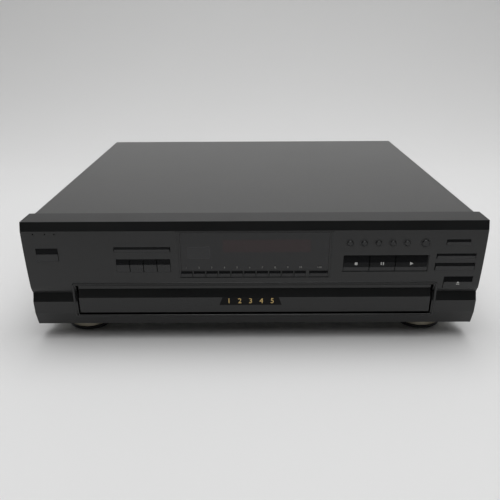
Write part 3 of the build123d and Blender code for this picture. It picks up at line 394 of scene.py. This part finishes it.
# ---------------------------------------------------------------- keys
# Black ABS keys, a little smoother than the face, guided in the fascia and sprung on the switches of
# the board behind; the transport keys carry pale printed signs.
key_black, tree, shader, place = new_finish("key_moulding")
height = height_over_floor(place)
grain, worn = noise(place, 1600, 2), noise(place, 30, 2)
key_lean, grain_depth = 0.36, 0.000008          # the upper halves lean back by this slope
lean = grain * grain_depth
for left, right, low, high in ((82.0, 164.4, -46.0, -33.0), (-131.0, -78.0, -42.2, -36.6),
                               (-204.0, -182.5, -31.0, -25.0), (180.0, 208.5, -62.0, -56.0)):
    lean = lean + ((panel_top + high) * mm - height) * key_lean * field(place, left, right,
                                                                          low, high)
feed(tree, shader, Base_Color=mixed(grain * 0.5 + worn * 0.5, (0.0034, 0.0038, 0.0044),
                                    (0.0062, 0.0065, 0.0072)),
     Roughness=worn * 0.08 + 0.22, Bump=(lean, 1.0))
paint("key_plastic", key_black)


def key_face(node):
    """The place of a key's front as a function of height, upright, in mm."""
    low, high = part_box(node)
    return lambda up: low[1] / mm + 0 * np.asarray(up, float)


def sign(name, node, outlines):
    """A printed sign on a key, which goes with it."""
    print_and_shade_on_face(name, outlines, pale_ink, body=node, face=key_face(node), lift=0.05)


# painted shade: near-black strips round each key, the display window and the disc keys, where the
# opening's edge turns in and lies in shadow
gap_painted_shade = ink("gap_painted_shade", (0.0008, 0.0008, 0.0008), (0.0016, 0.0016, 0.0016), 0.75,
               shine=0.06)


def gap_shade_strips(left, right, low, high, wide):
    """Four strips round a rectangle, mitred by overlap at the corners."""
    return [bar((left + right) / 2, high + wide / 2, right - left + 2 * wide, wide),
            bar((left + right) / 2, low - wide / 2, right - left + 2 * wide, wide),
            bar(left - wide / 2, (low + high) / 2, wide, high - low),
            bar(right + wide / 2, (low + high) / 2, wide, high - low)]


openings = [(-203.4, -183.3, -38.6, -25.6), (-130.2, -78.8, -29.1, -24.6), (-130.0, -78.9, -50.2, -37.0),
            (82.9, 163.6, -50.7, -33.5), (178.0, 199.8, -23.3, -18.2), (170.9, 206.5, -37.2, -32.4),
            (170.6, 206.9, -49.3, -42.1), (180.8, 207.8, -70.2, -56.8)]
# strips of painted shade laid flat on the face round the key openings, the display window's frame and the
# round disc keys
print_and_shade_on_face("key_gap_painted_shade", [strip for left, right, low, high in openings
                           for strip in gap_shade_strips(left - 0.3, right + 0.3, low - 0.3, high + 0.3, 0.6)]
              + gap_shade_strips(-71.3, 72.1, -56.9, -9.3, 1.2)
              + [quad for x in disc_key_x for quad in ring(x, -21.2, 4.3, 0.9)]
              + [quad for quad in ring(158.5, -21.2, 5.1, 0.9)], gap_painted_shade, lift=0.04)

sign("stop_sign", "stop_key", [bar(95.6, -42.2, 2.6, 2.6)])
sign("pause_sign", "pause_key", [bar(119.2, -42.2, 1.0, 2.8), bar(121.2, -42.2, 1.0, 2.8)])
sign("play_sign", "play_key", [right_arrow(147.8, -42.2, 3.2, 3.4)])
sign("open_close_sign", "open_close_key",
     [[(192.6, -63.4), (195.8, -63.4), (194.2, -61.4)], bar(194.2, -64.5, 3.2, 0.6)])

# ---------------------------------------------------------------- drawer
# The drawer front is a hollow black moulding with a bright edge along its top; the tray behind it
# carries the carousel, which has five stepped wells for discs, numbered in pale ink.
drawer_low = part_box("drawer_front")[0]


def drawer_face(up):
    """The drawer's front, upright, in mm."""
    return drawer_low[1] / mm + 0 * np.asarray(up, float)


print_and_shade_on_face("drawer_patch", [[(-31, -78.3), (23.6, -78.3), (26.5, -86.6), (-34, -86.6)]],
              ink("black_ink", (0.002, 0.002, 0.002), (0.004, 0.004, 0.004), 0.3, shine=0.15),
              body="drawer", face=drawer_face, lift=0.05)
lettered("drawer_numbers", [(str(n + 1), -3.7 + 10.5 * (n - 2), -82.3) for n in range(5)], 7.6,
         gold_foil, body="drawer", face=drawer_face, lift=0.08)
edge_half, edge_section = 169.6, ((4.3, -65.8), (4.5, -68.9), (7.4, -69.1), (6.0, -65.8))
piece("drawer_top_edge", [(x, fascia_front + back, panel_top + up) for x in (-edge_half, edge_half)
                          for back, up in edge_section],
      [(0, 1, 5, 4), (1, 2, 6, 5), (2, 3, 7, 6), (3, 0, 4, 7), (3, 2, 1, 0), (4, 5, 6, 7)],
      fascia_black, body="drawer")
carousel_middle, number_circle, carousel_top = (0.0, -11.0), 148.0, 54.0
lettered("well_numbers", [(str(n + 1), carousel_middle[0] + number_circle * np.cos(pi * (0.7 + 0.4 * n)),
                           carousel_middle[1] + number_circle * np.sin(pi * (0.7 + 0.4 * n)))
                          for n in range(5)], 8.0, pale_ink, body="carousel", face=carousel_top,
         plane="top", lift=0.06)

# ---------------------------------------------------------------- floor and light
# A pale sweep under and behind the unit, its colour darkening towards the back as painted falloff of the
# light; one broad soft light above and a pale room round it.
sweep, tree, shader, place = new_finish("pale_sweep", Roughness=0.85)
cloud = noise(place, 1.5, 2)
depth = place.make("ShaderNodeSeparateXYZ", {}, {0: place}, out=1)
# painted falloff: the sweep's colour darkens from pale near the unit to mid grey towards the back
painted_falloff = place.make("ShaderNodeMapRange", {"interpolation_type": "SMOOTHSTEP"},
                 {0: depth, 1: 0.15, 2: 2.6, 3: 0.0, 4: 1.0})
feed(tree, shader, Base_Color=mixed(painted_falloff, mixed(cloud, (0.71, 0.71, 0.71), (0.75, 0.75, 0.75)),
                                    (0.34, 0.34, 0.335)))


def sweep_sheet(across_half, front, back, rise, radius, rows=40):
    """The sheet's side profile, flat, then a quarter round, then upright, carried straight across."""
    bend = np.linspace(0, pi / 2, rows)
    profile = np.vstack([[front, 0], np.column_stack([back - radius + radius * np.sin(bend),
                                                      radius - radius * np.cos(bend)]), [back, rise]])
    left = np.column_stack([np.full(len(profile), -across_half), profile])
    right = left * [-1, 1, 1]
    count = len(profile)
    first = np.arange(count - 1)
    faces = np.column_stack([first, first + count, first + count + 1, first + 1])
    mesh = bpy.data.meshes.new("sweep")
    mesh.from_pydata(np.vstack([left, right]).tolist(), [], faces.tolist())
    mesh.polygons.foreach_set("use_smooth", [True] * len(faces))
    mesh.materials.append(sweep)
    sheet = bpy.data.objects.new("sweep", mesh)
    bpy.context.scene.collection.objects.link(sheet)


sweep_sheet(across_half=4.0, front=-3.0, back=1.3, rise=3.0, radius=0.8)


def lamp(name, place, aim, size, watts):
    """A square soft light at a place, aimed at another."""
    light = bpy.data.lights.new(name, "AREA")
    light.shape, light.size, light.energy = "SQUARE", size, watts
    thing = bpy.data.objects.new(name, light)
    way = np.asarray(aim, float) - np.asarray(place, float)
    thing.matrix_world = (Matrix.Translation(place)
                          @ Vector(way).to_track_quat("-Z", "Y").to_matrix().to_4x4())
    bpy.context.scene.collection.objects.link(thing)


lamp("ceiling_light", place=(0.1, 0.1, 2.3), aim=(0, 0, 0), size=2.2, watts=42.0)

world = bpy.data.worlds.new("room")
bpy.context.scene.world = world
world.use_nodes = True
room = Value(world.node_tree, None)
way = room.make("ShaderNodeTexCoord", out=0)
front = room.make("ShaderNodeSeparateXYZ", {}, {0: way}, out=1)
above = room.make("ShaderNodeSeparateXYZ", {}, {0: way}, out=2)
dim = (front < 0.0) * (above > -0.02) * (above < 0.65)
ray = room.make("ShaderNodeLightPath", out=0)
room_light, dim_by, seen_light = 0.62, 0.58, 0.8
strength = room_light - dim * dim_by
strength = strength + ray * (seen_light - strength)
background = world.node_tree.nodes["Background"]
background.inputs["Color"].default_value = (1, 1, 1, 1)
world.node_tree.links.new(strength.socket, background.inputs["Strength"])

bpy.context.scene.view_settings.view_transform = "Standard"
